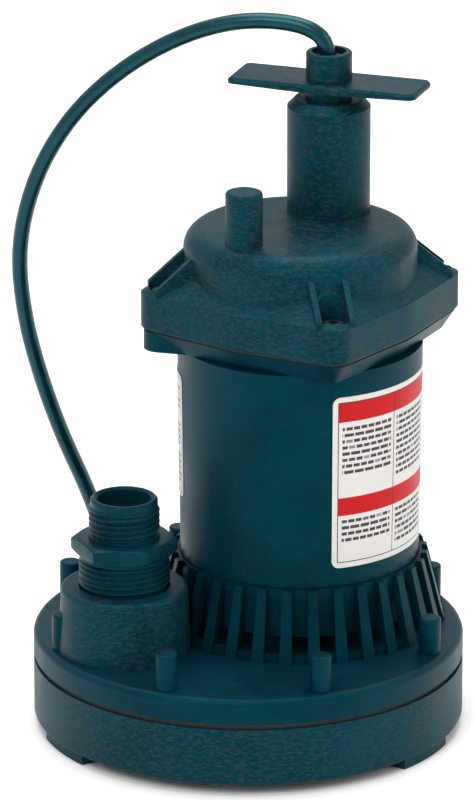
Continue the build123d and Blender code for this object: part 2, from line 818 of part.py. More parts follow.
# Three leads from the cord's end to the motor, two closed-end connectors and the ground screw.
lead_radius = 1.1
joint_z = bracket_high + 16
stud_z = bracket_high + 4
leads = {
    "lead_black": (210, (30, -3, 173), (motor_x - 6, -20, joint_z)),
    "lead_white": (330, (41, -9, 170), (motor_x + 8, -26, joint_z)),
    "lead_green": (90, (17, 10, 177), (motor_x - 24, -4, stud_z)),
}
for name, (turn, middle, end) in leads.items():
    start = Vector(neck_x, neck_y, jacket_end) + Vector(1.7, 0, 0).rotate(Axis.Z, turn)
    with BuildPart() as lead:
        with BuildLine() as lead_path:
            FilletPolyline(start, start - (0, 0, 5), middle, Vector(*end) + (0, 0, 6), end, radius=2.4)
        with BuildSketch(Plane(origin=lead_path.line @ 0, z_dir=lead_path.line % 0)):
            Circle(lead_radius)
        sweep()
    save(lead, name)
joints_at = [end for turn, middle, end in leads.values() if end[2] == joint_z]
stud_at = leads["lead_green"][2][:2]
with BuildPart() as wire_connectors:
    with Locations(*joints_at):
        Cone(2.4, 3.3, 8, align=(Align.CENTER, Align.CENTER, Align.MAX))
    fillet(wire_connectors.edges().group_by(Axis.Z)[0], 1.0)
save(wire_connectors, "wire_connectors")
with BuildPart() as ground_screw:
    with BuildSketch(Plane.XY.offset(bracket_high)):
        with Locations(stud_at):
            Circle(3.6)
    extrude(amount=1)
    with BuildSketch(Plane.XY.offset(bracket_high + 1)):
        with Locations(stud_at):
            RegularPolygon(2.9, 6, major_radius=False)
    extrude(amount=3)
save(ground_screw, "ground_screw")

# Labels wrapped round the housing, each a thin skin between two angles.
label_thick = 0.15


def label(name, start_angle, end_angle, low, high):
    """A thin wrapped label on the tapering side of the motor housing, with rounded corners."""
    slope = (body_top_radius - body_foot_radius) / (tier_low - body_low)
    foot = body_foot_radius + slope * (low - body_low)
    top = body_foot_radius + slope * (high - body_low)
    with BuildPart() as piece:
        with BuildSketch(Plane.XZ):
            with BuildLine():
                Polyline(
                    (motor_x + foot, low),
                    (motor_x + foot + label_thick, low),
                    (motor_x + top + label_thick, high),
                    (motor_x + top, high),
                    close=True,
                )
            make_face()
        revolve(axis=motor_axis, revolution_arc=end_angle - start_angle)
    piece.part = piece.part.rotate(motor_axis, start_angle)
    save(piece, name)


label("side_label", -103, -3, 72.3, 139.9)
label("data_label", -222, -192, 89.0, 137.5)

# Cord: from the hub's cup over to the side and down to the floor behind the pump.
cord_route = [
    (neck_x, neck_y, cup_floor),
    (neck_x, neck_y, 257.0),
    (36.0, 17.2, 263.4),
    (25.5, 26.5, 265.6),
    (12.0, 38.6, 263.8),
    (-3.3, 53.8, 255.4),
    (-19.2, 69.0, 240.9),
    (-33.0, 82.4, 221.4),
    (-42.6, 93.7, 196.0),
    (-46.2, 101.8, 166.2),
    (-41.6, 105.9, 136.4),
    (-33.4, 108.3, 109.2),
    (-23.6, 109.6, 83.2),
    (-12.0, 111.6, 59.0),
    (-3.0, 115.4, 37.4),
    (7.0, 118.6, 19.0),
    (20.0, 119.2, 8.0),
    (33.0, 121.6, 3.6),
    (42.4, 127.0, 3.3),
    (48.4, 134.4, 3.3),
]
tail_route = [
    (-20.4, -18.0, 16.0),
    (-25.8, -7.3, 17.6),
    (-25.8, 5.0, 20.8),
    (-19.6, 15.2, 25.4),
    (-9.0, 21.0, 30.0),
    (3.0, 21.0, 30.0),
]


def tube(name, route):
    """A round tube along straight runs joined by arcs, with each arc's radius worked out from its runs."""
    points = [Vector(*point) for point in route]
    runs = [b - a for a, b in zip(points, points[1:])]
    radii = []
    for before, after in zip(runs, runs[1:]):
        turn = radians(before.get_angle(after))
        radii.append(0.45 * min(before.length, after.length) / tan(turn / 2))
    with BuildPart() as piece:
        with BuildLine() as path:
            FilletPolyline(*points, radius=radii)
        with BuildSketch(Plane(origin=path.line @ 0, z_dir=path.line % 0)):
            Circle(cord_diameter / 2)
        sweep()
    length = sum(edge.length for edge in path.edges())
    expected = pi * (cord_diameter / 2) ** 2 * length
    print(name, "length", round(length, 1), "radii", [round(radius, 1) for radius in radii])
    print(name, "volume", round(piece.part.volume, 1), "section times length", round(expected, 1))
    save(piece, name)


tube("power_cord", cord_route)
coil_plane = Plane(origin=(coil_x, coil_y, 0), x_dir=(1, 0, 0), z_dir=(0, 0, 1)).rotated((0, 0, coil_turn))
tube("cord_tail", [tuple(coil_plane.from_local_coords(Vector(*point))) for point in tail_route])

# The put-away length: one flat ring of cord, tied once.
with BuildPart() as cord_coil:
    with BuildSketch(Plane.XZ):
        with Locations((coil_x + coil_radius, coil_low + coil_height / 2)):
            RectangleRounded(coil_width, coil_height, 3)
    revolve(axis=Axis((coil_x, 0, 0), (0, 0, 1)))
cord_coil.part = cord_coil.part.moved(Location((0, coil_y, 0)))
save(cord_coil, "cord_coil")

# Plug on the coil: a moulded grounded body, two flat blades and a round ground pin.
plug_back, plug_front = 3.0, 34.0
plug_y, plug_z = 21.0, 30.0
blade_reach = 17.5
shell_start = 9.0
plug_plane = Plane(
    origin=coil_plane.from_local_coords(Vector(plug_back, plug_y, plug_z)),
    x_dir=coil_plane.y_dir,
    z_dir=coil_plane.x_dir,
)
with BuildPart() as plug_body:
    with BuildSketch(plug_plane):
        Circle(5.2)
    with BuildSketch(plug_plane.offset(shell_start)):
        RectangleRounded(24, 20, 7)
    loft()
    with BuildSketch(plug_plane.offset(shell_start)):
        RectangleRounded(24, 20, 7)
    extrude(amount=plug_front - plug_back - shell_start)
    fillet(plug_body.faces().sort_by(Axis(plug_plane.origin, plug_plane.z_dir))[-1].edges(), 1.2)
save(plug_body, "plug_body")
face_plane = plug_plane.offset(plug_front - plug_back)
with BuildPart() as plug_blades:
    with BuildSketch(face_plane):
        with Locations((-6.35, 2.6), (6.35, 2.6)):
            Rectangle(1.5, 6.4)
    extrude(amount=blade_reach)
save(plug_blades, "plug_blades")
with BuildPart() as plug_ground_pin:
    with BuildSketch(face_plane):
        with Locations((0, -5.6)):
            Circle(2.4)
    extrude(amount=blade_reach + 3)
    fillet(plug_ground_pin.faces().sort_by(Axis(plug_plane.origin, plug_plane.z_dir))[-1].edges(), 1.6)
save(plug_ground_pin, "plug_ground_pin")

# Releasable tie round the coil's section.
tie_thick = 1.0
tie_turn = 250
tie_out = coil_plane.x_dir.rotate(Axis.Z, tie_turn)
tie_middle = Vector(coil_x, coil_y, coil_low + coil_height / 2) + tie_out * coil_radius
tie_width = coil_width + 2 * tie_gap
tie_height = coil_height + 0.2
with BuildPart() as cord_tie:
    with BuildSketch(Plane(origin=tie_middle, x_dir=tie_out, z_dir=tie_out.rotate(Axis.Z, 90))):
        RectangleRounded(tie_width + 2 * tie_thick, tie_height + 2 * tie_thick, 3.2)
        RectangleRounded(tie_width, tie_height, 2.4, mode=Mode.SUBTRACT)
    extrude(amount=4, both=True)
save(cord_tie, "cord_tie")
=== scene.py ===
from math import atan2, cos, degrees, pi, radians, sin

import bpy
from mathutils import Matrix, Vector


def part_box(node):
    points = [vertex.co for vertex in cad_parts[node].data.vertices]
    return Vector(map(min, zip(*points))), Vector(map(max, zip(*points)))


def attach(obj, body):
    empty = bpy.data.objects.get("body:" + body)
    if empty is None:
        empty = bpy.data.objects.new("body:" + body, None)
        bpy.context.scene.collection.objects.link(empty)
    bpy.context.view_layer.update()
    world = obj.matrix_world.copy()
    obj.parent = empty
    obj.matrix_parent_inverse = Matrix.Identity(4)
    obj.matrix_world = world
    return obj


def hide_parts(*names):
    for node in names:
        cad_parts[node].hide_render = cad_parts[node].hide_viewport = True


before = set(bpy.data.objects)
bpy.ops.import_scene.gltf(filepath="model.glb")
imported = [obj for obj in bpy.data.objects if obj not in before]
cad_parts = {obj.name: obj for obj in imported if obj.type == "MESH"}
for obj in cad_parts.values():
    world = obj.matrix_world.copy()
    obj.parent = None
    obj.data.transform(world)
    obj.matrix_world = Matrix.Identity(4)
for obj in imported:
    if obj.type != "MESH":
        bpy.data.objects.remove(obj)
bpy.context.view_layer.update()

mm = 0.001
weldWithin = 0.000002      # under any real edge, in millimetres and in metres alike
scene = bpy.context.scene
scene.view_settings.view_transform = "Standard"


def toLinear(hexColour):
    # sRGB hex to the linear values that the shaders use
    channels = [int(hexColour[i:i + 2], 16) / 255 for i in (1, 3, 5)]
    return [c / 12.92 if c <= 0.04045 else ((c + 0.055) / 1.055) ** 2.4 for c in channels] + [1.0]


def addNode(tree, kind, values=None, links=None, **settings):
    node = tree.nodes.new(kind)
    for name, value in settings.items():
        setattr(node, name, value)
    for socket, value in (values or {}).items():
        node.inputs[socket].default_value = value
    for socket, source in (links or {}).items():
        tree.links.new(source, node.inputs[socket])
    return node


def newMaterial(name):
    material = bpy.data.materials.new(name)
    material.use_nodes = True
    tree = material.node_tree
    tree.nodes.clear()
    shader = addNode(tree, "ShaderNodeBsdfPrincipled")
    addNode(tree, "ShaderNodeOutputMaterial", links={"Surface": shader.outputs[0]})
    return material, tree, shader


def wireSurface(tree, shader, colour, roughness, normal):
    tree.links.new(colour, shader.inputs["Base Color"])
    tree.links.new(roughness, shader.inputs["Roughness"])
    tree.links.new(normal, shader.inputs["Normal"])


def deselectAll():
    if bpy.context.mode != "OBJECT":
        bpy.ops.object.mode_set(mode="OBJECT")
    bpy.ops.object.select_all(action="DESELECT")


def finishPiece(piece, name, material, smoothAngle=35):
    # the place goes into the mesh, so that the object itself stays at the origin
    deselectAll()
    piece.select_set(True)
    bpy.context.view_layer.objects.active = piece
    bpy.ops.object.transform_apply(location=True, rotation=True, scale=True)
    if smoothAngle:
        bpy.ops.object.shade_smooth_by_angle(angle=radians(smoothAngle))
    piece.name = name
    piece.data.name = name
    piece.data.materials.clear()
    piece.data.materials.append(material)
    return piece


def turnProfile(profile, centre, steps=96):
    # a closed outline of radius and height, spun once round an upright axis
    deselectAll()
    bpy.ops.mesh.primitive_circle_add(vertices=len(profile))
    piece = bpy.context.object
    for vertex, (radius, height) in zip(piece.data.vertices, profile):
        vertex.co = (centre[0] + radius, centre[1], height)
    bpy.ops.object.mode_set(mode="EDIT")
    bpy.ops.mesh.select_all(action="SELECT")
    bpy.ops.mesh.spin(steps=steps, angle=2 * pi, center=(centre[0], centre[1], 0), axis=(0, 0, 1))
    bpy.ops.mesh.select_all(action="SELECT")
    bpy.ops.mesh.remove_doubles(threshold=weldWithin)
    bpy.ops.mesh.normals_make_consistent(inside=False)
    bpy.ops.object.mode_set(mode="OBJECT")
    return piece


def joinPieces(pieces):
    deselectAll()
    for piece in pieces:
        piece.select_set(True)
    bpy.context.view_layer.objects.active = pieces[0]
    bpy.ops.object.join()
    return pieces[0]


# ---- camera, lights and floor

view = {
    "azimuth": -28.0,
    "distance": 2.484,
    "height": 0.981,
    "lens": 314.7,
    "sensor": 36,
    "aim": (-0.0038, 0.0020, 0.1275),
}
azimuth = radians(view["azimuth"])
cameraPlace = Vector((view["distance"] * sin(azimuth), -view["distance"] * cos(azimuth), view["height"]))
deselectAll()
bpy.ops.object.camera_add(location=cameraPlace)
camera = bpy.context.object
camera.name = "photoCamera"
camera.data.lens = view["lens"]
camera.data.sensor_width = view["sensor"]
camera.data.clip_end = 50
towards = (Vector(view["aim"]) - cameraPlace).to_track_quat("-Z", "Y").to_matrix()
camera.rotation_euler = towards.to_euler()
scene.camera = camera

studio = {
    "floorSize": 12.0,
    "floorColour": "#f4f4f3",
    "floorRoughness": 0.9,
    "lampsAim": (0, 0, 0.12),
    "worldStrength": 0.78,
}
bpy.ops.mesh.primitive_plane_add(size=studio["floorSize"], location=(0, 0, 0))
floorPiece = bpy.context.object
floorPiece.name = "studioFloor"
floorPaint, floorTree, floorShader = newMaterial("mattWhitePaper")
floorShader.inputs["Base Color"].default_value = toLinear(studio["floorColour"])
floorShader.inputs["Roughness"].default_value = studio["floorRoughness"]
floorPiece.data.materials.append(floorPaint)

lights = {
    "keySoftbox": {"place": (-1.5, -1.3, 1.9), "size": 1.4, "power": 30},
    "fillSoftbox": {"place": (1.7, -1.5, 1.3), "size": 1.6, "power": 14},
    "topSoftbox": {"place": (0.2, 0.5, 2.3), "size": 1.8, "power": 44},
}
for name, light in lights.items():
    bpy.ops.object.light_add(type="AREA", location=light["place"])
    lamp = bpy.context.object
    lamp.name = name
    lamp.data.size = light["size"]
    lamp.data.energy = light["power"]
    lamp.rotation_euler = (Vector(studio["lampsAim"]) - lamp.location).to_track_quat("-Z", "Y").to_euler()
world = bpy.data.worlds.new("studioWhite")
world.use_nodes = True
backdrop = world.node_tree.nodes["Background"]
backdrop.inputs["Color"].default_value = (1, 1, 1, 1)
backdrop.inputs["Strength"].default_value = studio["worldStrength"]
scene.world = world
print("camera, lights and floor ready")

# ---- power cord: one spline from the handle's hub to the plug

cord = {
    "diameter": 6.2 * mm,
    "length": 2.4,
    "route": [
        (41.0, 13.0, 246.0), (41.0, 13.0, 257.0), (36.0, 17.2, 263.4), (25.5, 26.5, 265.6),
        (12.0, 38.6, 263.8), (-3.3, 53.8, 255.4), (-19.2, 69.0, 240.9), (-33.0, 82.4, 221.4),
        (-42.6, 93.7, 196.0), (-46.2, 101.8, 166.2), (-41.6, 105.9, 136.4), (-33.4, 108.3, 109.2),
        (-23.6, 109.6, 83.2), (-12.0, 111.6, 59.0), (-3.0, 115.4, 37.4), (7.0, 118.6, 19.0),
        (20.0, 119.2, 8.0), (33.0, 121.6, 3.6), (42.4, 127.0, 3.4),
    ],
    "tail": [
        (-25.8, -7.3, 17.6), (-25.8, 5.0, 20.8), (-19.6, 15.2, 25.4), (-9.0, 21.0, 30.0), (3.0, 21.0, 30.0),
    ],
    "coilCentre": (82.2, 110.4),
    "coilRadius": 33.1,
    "coilLow": 1.2,
    "coilTurn": 62.0,
    "turnsAcross": 3,
    "layers": 3,
    "stepShare": 0.4,
    "pointsPerTurn": 14,
    "alongside": ["plug_blades", "plug_ground_pin", "cord_tie"],
}


def coilPoint(radius, angle, height):
    centre = cord["coilCentre"]
    return (centre[0] + radius * cos(angle), centre[1] + radius * sin(angle), height)


def coilTurns(startAngle, endAngle):
    # clockwise turns in layers a cord's width apart from the floor up, each layer's columns taken in the
    # opposite order to the one below, with a step across in the last part of every turn
    thick = cord["diameter"] / mm
    places = []
    for layer in range(cord["layers"]):
        row = [cord["turnsAcross"] // 2 - k for k in range(cord["turnsAcross"])]
        places += [(column, layer) for column in (row if layer % 2 == 0 else row[::-1])]
    total = len(places) * 2 * pi + ((startAngle - endAngle) % (2 * pi))
    count = int(total / (2 * pi) * cord["pointsPerTurn"])
    points = []
    for k in range(1, count):
        turned = total * k / count
        along = min(turned / total * len(places), len(places) - 1)
        this, step = places[int(along)], along - int(along)
        following = places[min(int(along) + 1, len(places) - 1)]
        ease = max(0.0, (step - 1 + cord["stepShare"]) / cord["stepShare"])
        column = this[0] + (following[0] - this[0]) * ease
        layer = this[1] + (following[1] - this[1]) * ease
        radius = cord["coilRadius"] + column * thick
        points.append(coilPoint(radius, startAngle - turned, cord["coilLow"] + thick * (layer + 0.5)))
    return points


def coilToFrame(point):
    turn = radians(cord["coilTurn"])
    x, y, z = point
    centre = cord["coilCentre"]
    return (centre[0] + x * cos(turn) - y * sin(turn), centre[1] + x * sin(turn) + y * cos(turn), z)


def cordPoints():
    centre, joinsAt = cord["coilCentre"], cord["route"][-1]
    firstAngle = atan2(joinsAt[1] - centre[1], joinsAt[0] - centre[0])
    tail = [coilToFrame(point) for point in cord["tail"]]
    lastAngle = atan2(tail[0][1] - centre[1], tail[0][0] - centre[0])
    return cord["route"] + coilTurns(firstAngle, lastAngle) + tail


def makeCord(material):
    points = cordPoints()
    curve = bpy.data.curves.new("powerCordLine", "CURVE")
    curve.dimensions = "3D"
    spline = curve.splines.new("NURBS")
    spline.points.add(len(points) - 1)
    for point, place in zip(spline.points, points):
        point.co = (place[0] * mm, place[1] * mm, place[2] * mm, 1)
    spline.order_u = 3
    spline.use_endpoint_u = True
    spline.resolution_u = 5
    curve.bevel_depth = cord["diameter"] / 2
    curve.bevel_resolution = 5
    curve.use_fill_caps = True
    curve.materials.append(material)
    piece = bpy.data.objects.new("powerCord", curve)
    scene.collection.objects.link(piece)
    return piece


def cordJacket():
    # extruded SJTW vinyl jacket: smooth, dark green-black, with a soft sheen and a faint drawn grain
    material, tree, shader = newMaterial("extrudedVinylJacket")
    place = addNode(tree, "ShaderNodeTexCoord").outputs["Object"]
    scuff = addNode(tree, "ShaderNodeTexNoise", {"Scale": 1 / (12 * mm), "Detail": 4.0}, {"Vector": place})
    tint = addNode(tree, "ShaderNodeValToRGB", links={"Fac": scuff.outputs["Fac"]})
    tint.color_ramp.elements[0].position = 0.35
    tint.color_ramp.elements[0].color = toLinear("#001e26")
    tint.color_ramp.elements[1].position = 0.7
    tint.color_ramp.elements[1].color = toLinear("#022b34")
    sheen = addNode(tree, "ShaderNodeMapRange", {"To Min": 0.2, "To Max": 0.34},
                    {"Value": scuff.outputs["Fac"]})
    grain = addNode(tree, "ShaderNodeTexNoise", {"Scale": 1 / (0.7 * mm), "Detail": 2.0},
                    {"Vector": place})
    bump = addNode(tree, "ShaderNodeBump", {"Strength": 0.08, "Distance": 0.2 * mm},
                   {"Height": grain.outputs["Fac"]})
    wireSurface(tree, shader, tint.outputs["Color"], sheen.outputs["Result"], bump.outputs["Normal"])
    shader.inputs["IOR"].default_value = 1.53
    shader.inputs["Specular Tint"].default_value = (0.3, 0.9, 1.0, 1.0)
    return material


jacket = cordJacket()
powerCord = makeCord(jacket)
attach(powerCord, "pump")
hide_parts("power_cord", "cord_coil", "cord_tail")
print("power cord laid out")

# ---- finishes


def mouldedPolypropylene(name, deep, light, brown, fleckShare, roughLow, roughHigh):
    # glass-filled polypropylene from a spark-eroded mould: dark blue-green with brownish drawn-out
    # flecks of filler, a broad dull sheen, and slightly uneven gloss where it has been handled
    material, tree, shader = newMaterial(name)
    place = addNode(tree, "ShaderNodeTexCoord").outputs["Object"]
    flat = addNode(tree, "ShaderNodeMapping", {"Scale": (1.0, 1.0, 3.0)}, {"Vector": place})
    fleckSize = 2.4 * mm      # the real fleck is about 0.3 mm, drawn coarser so that it shows
    fleck = addNode(tree, "ShaderNodeTexNoise", {"Scale": 1 / fleckSize, "Detail": 4.0, "Roughness": 0.7},
                    {"Vector": flat.outputs["Vector"]})
    cloud = addNode(tree, "ShaderNodeTexNoise", {"Scale": 1 / (26 * mm), "Detail": 3.0}, {"Vector": place})
    base = addNode(tree, "ShaderNodeValToRGB", links={"Fac": cloud.outputs["Fac"]})
    base.color_ramp.elements[0].position = 0.3
    base.color_ramp.elements[0].color = toLinear(deep)
    base.color_ramp.elements[1].position = 0.72
    base.color_ramp.elements[1].color = toLinear(light)
    fleckMask = addNode(tree, "ShaderNodeMapRange",
                        {"From Min": 0.47, "From Max": 0.62, "To Max": fleckShare},
                        {"Value": fleck.outputs["Fac"]})
    colour = addNode(tree, "ShaderNodeMix", {7: toLinear(brown)},
                     {0: fleckMask.outputs["Result"], 6: base.outputs["Color"]}, data_type="RGBA")
    rough = addNode(tree, "ShaderNodeMapRange",
                    {"From Min": 0.3, "From Max": 0.7, "To Min": roughLow, "To Max": roughHigh},
                    {"Value": cloud.outputs["Fac"]})
    grain = addNode(tree, "ShaderNodeTexNoise", {"Scale": 1 / (0.8 * mm), "Detail": 3.0, "Roughness": 0.6},
                    {"Vector": place})
    bump = addNode(tree, "ShaderNodeBump", {"Strength": 0.35, "Distance": 0.16 * mm},
                   {"Height": grain.outputs["Fac"]})
    wireSurface(tree, shader, colour.outputs[2], rough.outputs["Result"], bump.outputs["Normal"])
    shader.inputs["IOR"].default_value = 1.49
    shader.inputs["Specular IOR Level"].default_value = 0.17
    shader.inputs["Specular Tint"].default_value = (0.04, 0.86, 1.0, 1.0)
    return material


def plainFinish(name, dark, light, roughLow, roughHigh, spot, grainSize, metallic=0.0, depth=0.03 * mm):
    # two close tones and two roughnesses over a spot size, with a fine grain
    material, tree, shader = newMaterial(name)
    place = addNode(tree, "ShaderNodeTexCoord").outputs["Object"]
    cloud = addNode(tree, "ShaderNodeTexNoise", {"Scale": 1 / spot, "Detail": 3.0}, {"Vector": place})
    tone = addNode(tree, "ShaderNodeValToRGB", links={"Fac": cloud.outputs["Fac"]})
    tone.color_ramp.elements[0].position = 0.35
    tone.color_ramp.elements[0].color = toLinear(dark)
    tone.color_ramp.elements[1].position = 0.65
    tone.color_ramp.elements[1].color = toLinear(light)
    rough = addNode(tree, "ShaderNodeMapRange",
                    {"From Min": 0.35, "From Max": 0.65, "To Min": roughLow, "To Max": roughHigh},
                    {"Value": cloud.outputs["Fac"]})
    grain = addNode(tree, "ShaderNodeTexNoise", {"Scale": 1 / grainSize, "Detail": 3.0, "Roughness": 0.6},
                    {"Vector": place})
    bump = addNode(tree, "ShaderNodeBump", {"Strength": 0.3, "Distance": depth},
                   {"Height": grain.outputs["Fac"]})
    wireSurface(tree, shader, tone.outputs["Color"], rough.outputs["Result"], bump.outputs["Normal"])
    shader.inputs["Metallic"].default_value = metallic
    return material


housingPlastic = mouldedPolypropylene(
    "mouldedPolypropylene", "#001e2a", "#002e3c", "#1a2728", fleckShare=0.35, roughLow=0.36, roughHigh=0.5)
cappingPlastic = mouldedPolypropylene(
    "mouldedPolypropyleneFlecked", "#00212b", "#00323f", "#2a3233", fleckShare=0.8, roughLow=0.38,
    roughHigh=0.52)
adapterPlastic = mouldedPolypropylene(
    "mouldedNylonAdapter", "#001f2a", "#012d39", "#1f2a2b", fleckShare=0.6, roughLow=0.3, roughHigh=0.42)
slottedPlastic = mouldedPolypropylene(
    "mouldedPolypropyleneScreen", "#001a24", "#002732", "#152122", fleckShare=0.35, roughLow=0.38,
    roughHigh=0.52)
gasketRubber = plainFinish("nitrileRubber", "#0b0d0e", "#15181a", 0.55, 0.75, 8 * mm, 0.4 * mm)
stainless = plainFinish("turnedStainlessSteel", "#8f908e", "#b4b5b3", 0.22, 0.4, 3 * mm, 0.25 * mm, 1.0)
blackSteel = plainFinish("blackOxideSteel", "#1a2a2e", "#27393d", 0.32, 0.5, 3 * mm, 0.3 * mm, 0.6)
zincSteel = plainFinish("zincPlatedSteel", "#8c9092", "#b8bbbd", 0.25, 0.42, 4 * mm, 0.3 * mm, 1.0)
brass = plainFinish("turnedBrass", "#7d6a3c", "#a38c56", 0.22, 0.36, 3 * mm, 0.2 * mm, 1.0)
bronze = plainFinish("sinteredBronze", "#6b4a26", "#8c6334", 0.5, 0.68, 1 * mm, 0.15 * mm, 0.9)
lamination = plainFinish("stackedLaminationSteel", "#3b3d40", "#5a5d60", 0.38, 0.55, 4 * mm, 0.5 * mm, 0.9)
copper = plainFinish("varnishedCopperWire", "#6d2a12", "#93431f", 0.22, 0.4, 1 * mm, 0.6 * mm, 0.8, 0.2 * mm)
castAluminium = plainFinish("castAluminium", "#8b8d8f", "#b1b3b4", 0.42, 0.6, 3 * mm, 0.5 * mm, 1.0)
capacitorCase = plainFinish("phenolicCase", "#141416", "#222225", 0.25, 0.38, 6 * mm, 0.3 * mm)
protectorCase = plainFinish("phenolicProtector", "#1e1512", "#2d211c", 0.45, 0.6, 4 * mm, 0.3 * mm)
ceramic = plainFinish("lappedCeramic", "#cfcac0", "#e1ddd4", 0.16, 0.28, 5 * mm, 0.1 * mm)
carbon = plainFinish("lappedCarbon", "#101011", "#1c1c1e", 0.3, 0.45, 4 * mm, 0.15 * mm)
impellerPlastic = plainFinish("glassFilledNylon", "#131517", "#202325", 0.42, 0.6, 4 * mm, 0.4 * mm)
plugVinyl = plainFinish("mouldedVinyl", "#011c23", "#052830", 0.36, 0.5, 8 * mm, 0.5 * mm)
blackLead = plainFinish("vinylLeadBlack", "#0c0c0d", "#171718", 0.28, 0.4, 4 * mm, 0.3 * mm)
whiteLead = plainFinish("vinylLeadWhite", "#c9c9c4", "#dededa", 0.28, 0.4, 4 * mm, 0.3 * mm)
greenLead = plainFinish("vinylLeadGreen", "#0c5a22", "#157a32", 0.28, 0.4, 4 * mm, 0.3 * mm)
nylon = plainFinish("naturalNylon", "#b5b0a1", "#cdc8ba", 0.35, 0.5, 5 * mm, 0.4 * mm)

finishes = {
    housingPlastic: ["motor_housing", "volute_housing", "screw_bosses", "standoff_posts"],
    cappingPlastic: ["top_cap", "handle", "base_cover", "discharge_tower"],
    slottedPlastic: ["intake_screen"],
    adapterPlastic: ["discharge_adapter"],
    gasketRubber: ["base_gasket", "cap_gasket", "cord_grommet", "cord_tie"],
    stainless: ["base_screws", "motor_mount_screws", "shaft", "impeller_nut", "seal_spring", "seal_retainer",
                "thrust_washers"],
    blackSteel: ["cap_screws", "cap_washers"],
    zincSteel: ["bolt_spacers", "stator_bolts", "capacitor_strap", "ground_screw"],
    brass: ["cap_inserts", "plug_blades", "plug_ground_pin"],
    bronze: ["lower_bearing", "upper_bearing"],
    lamination: ["stator_core", "rotor_core"],
    copper: ["winding_lower", "winding_upper"],
    castAluminium: ["bearing_bracket", "rotor_rings"],
    capacitorCase: ["run_capacitor"],
    protectorCase: ["thermal_protector"],
    ceramic: ["seal_seat"],
    carbon: ["seal_head"],
    impellerPlastic: ["impeller"],
    plugVinyl: ["plug_body"],
    jacket: ["inner_cord"],
    blackLead: ["lead_black"],
    whiteLead: ["lead_white"],
    greenLead: ["lead_green"],
    nylon: ["wire_connectors", "cord_clamp"],
}
for finish, names in finishes.items():
    for name in names:
        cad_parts[name].material_slots[0].material = finish
print("finishes assigned")

# ---- threaded discharge adapter

adapter = {
    "bore": 10.2 * mm,
    "pitch": 2.21 * mm,      # 11.5 threads to the inch, as on a 3/4 in pipe thread
    "threadDepth": 1.15 * mm,
    "upperRadius": 13.45 * mm,
    "lowerRadius": 17.2 * mm,
    "hexLow": 75.9 * mm,
    "hexTop": 82.2 * mm,
    "hexFlats": 35.0 * mm,
    "hexTurn": -2,
    "upperTurns": 4.6,
    "lowerTurns": 4.9,
    "stepsPerTurn": 64,
    "runOut": 1.9 * mm,      # plain length between the hexagon and a thread
    "hexChamfer": 1.3 * mm,
    "edgeRounding": 0.35 * mm,
}


def threadRidge(centre, radius, low, turns):
    # one pointed ridge wound up the core, its foot sunk in the root and its two ends closed
    deselectAll()
    depth, pitch = adapter["threadDepth"], adapter["pitch"]
    buried, crest = -depth - 0.2 * mm, -0.08 * mm
    section = [(buried, -0.52 * pitch), (crest, -0.07 * pitch), (crest, 0.07 * pitch), (buried, 0.52 * pitch)]
    bpy.ops.mesh.primitive_circle_add(vertices=len(section))
    ridge = bpy.context.object
    for vertex, (inward, rise) in zip(ridge.data.vertices, section):
        vertex.co = (radius + inward, 0, rise)
    winding = ridge.modifiers.new("winding", "SCREW")
    winding.angle = 2 * pi * turns
    winding.screw_offset = pitch * turns
    winding.steps = int(turns * adapter["stepsPerTurn"])
    winding.render_steps = winding.steps
    bpy.ops.object.modifier_apply(modifier=winding.name)
    bpy.ops.object.mode_set(mode="EDIT")
    bpy.ops.mesh.select_all(action="SELECT")
    bpy.ops.mesh.region_to_loop()
    bpy.ops.mesh.edge_face_add()
    bpy.ops.mesh.select_all(action="SELECT")
    bpy.ops.mesh.normals_make_consistent(inside=False)
    bpy.ops.object.mode_set(mode="OBJECT")
    ridge.location = (centre[0], centre[1], low)
    bpy.ops.object.transform_apply(location=True, rotation=False, scale=False)
    return ridge


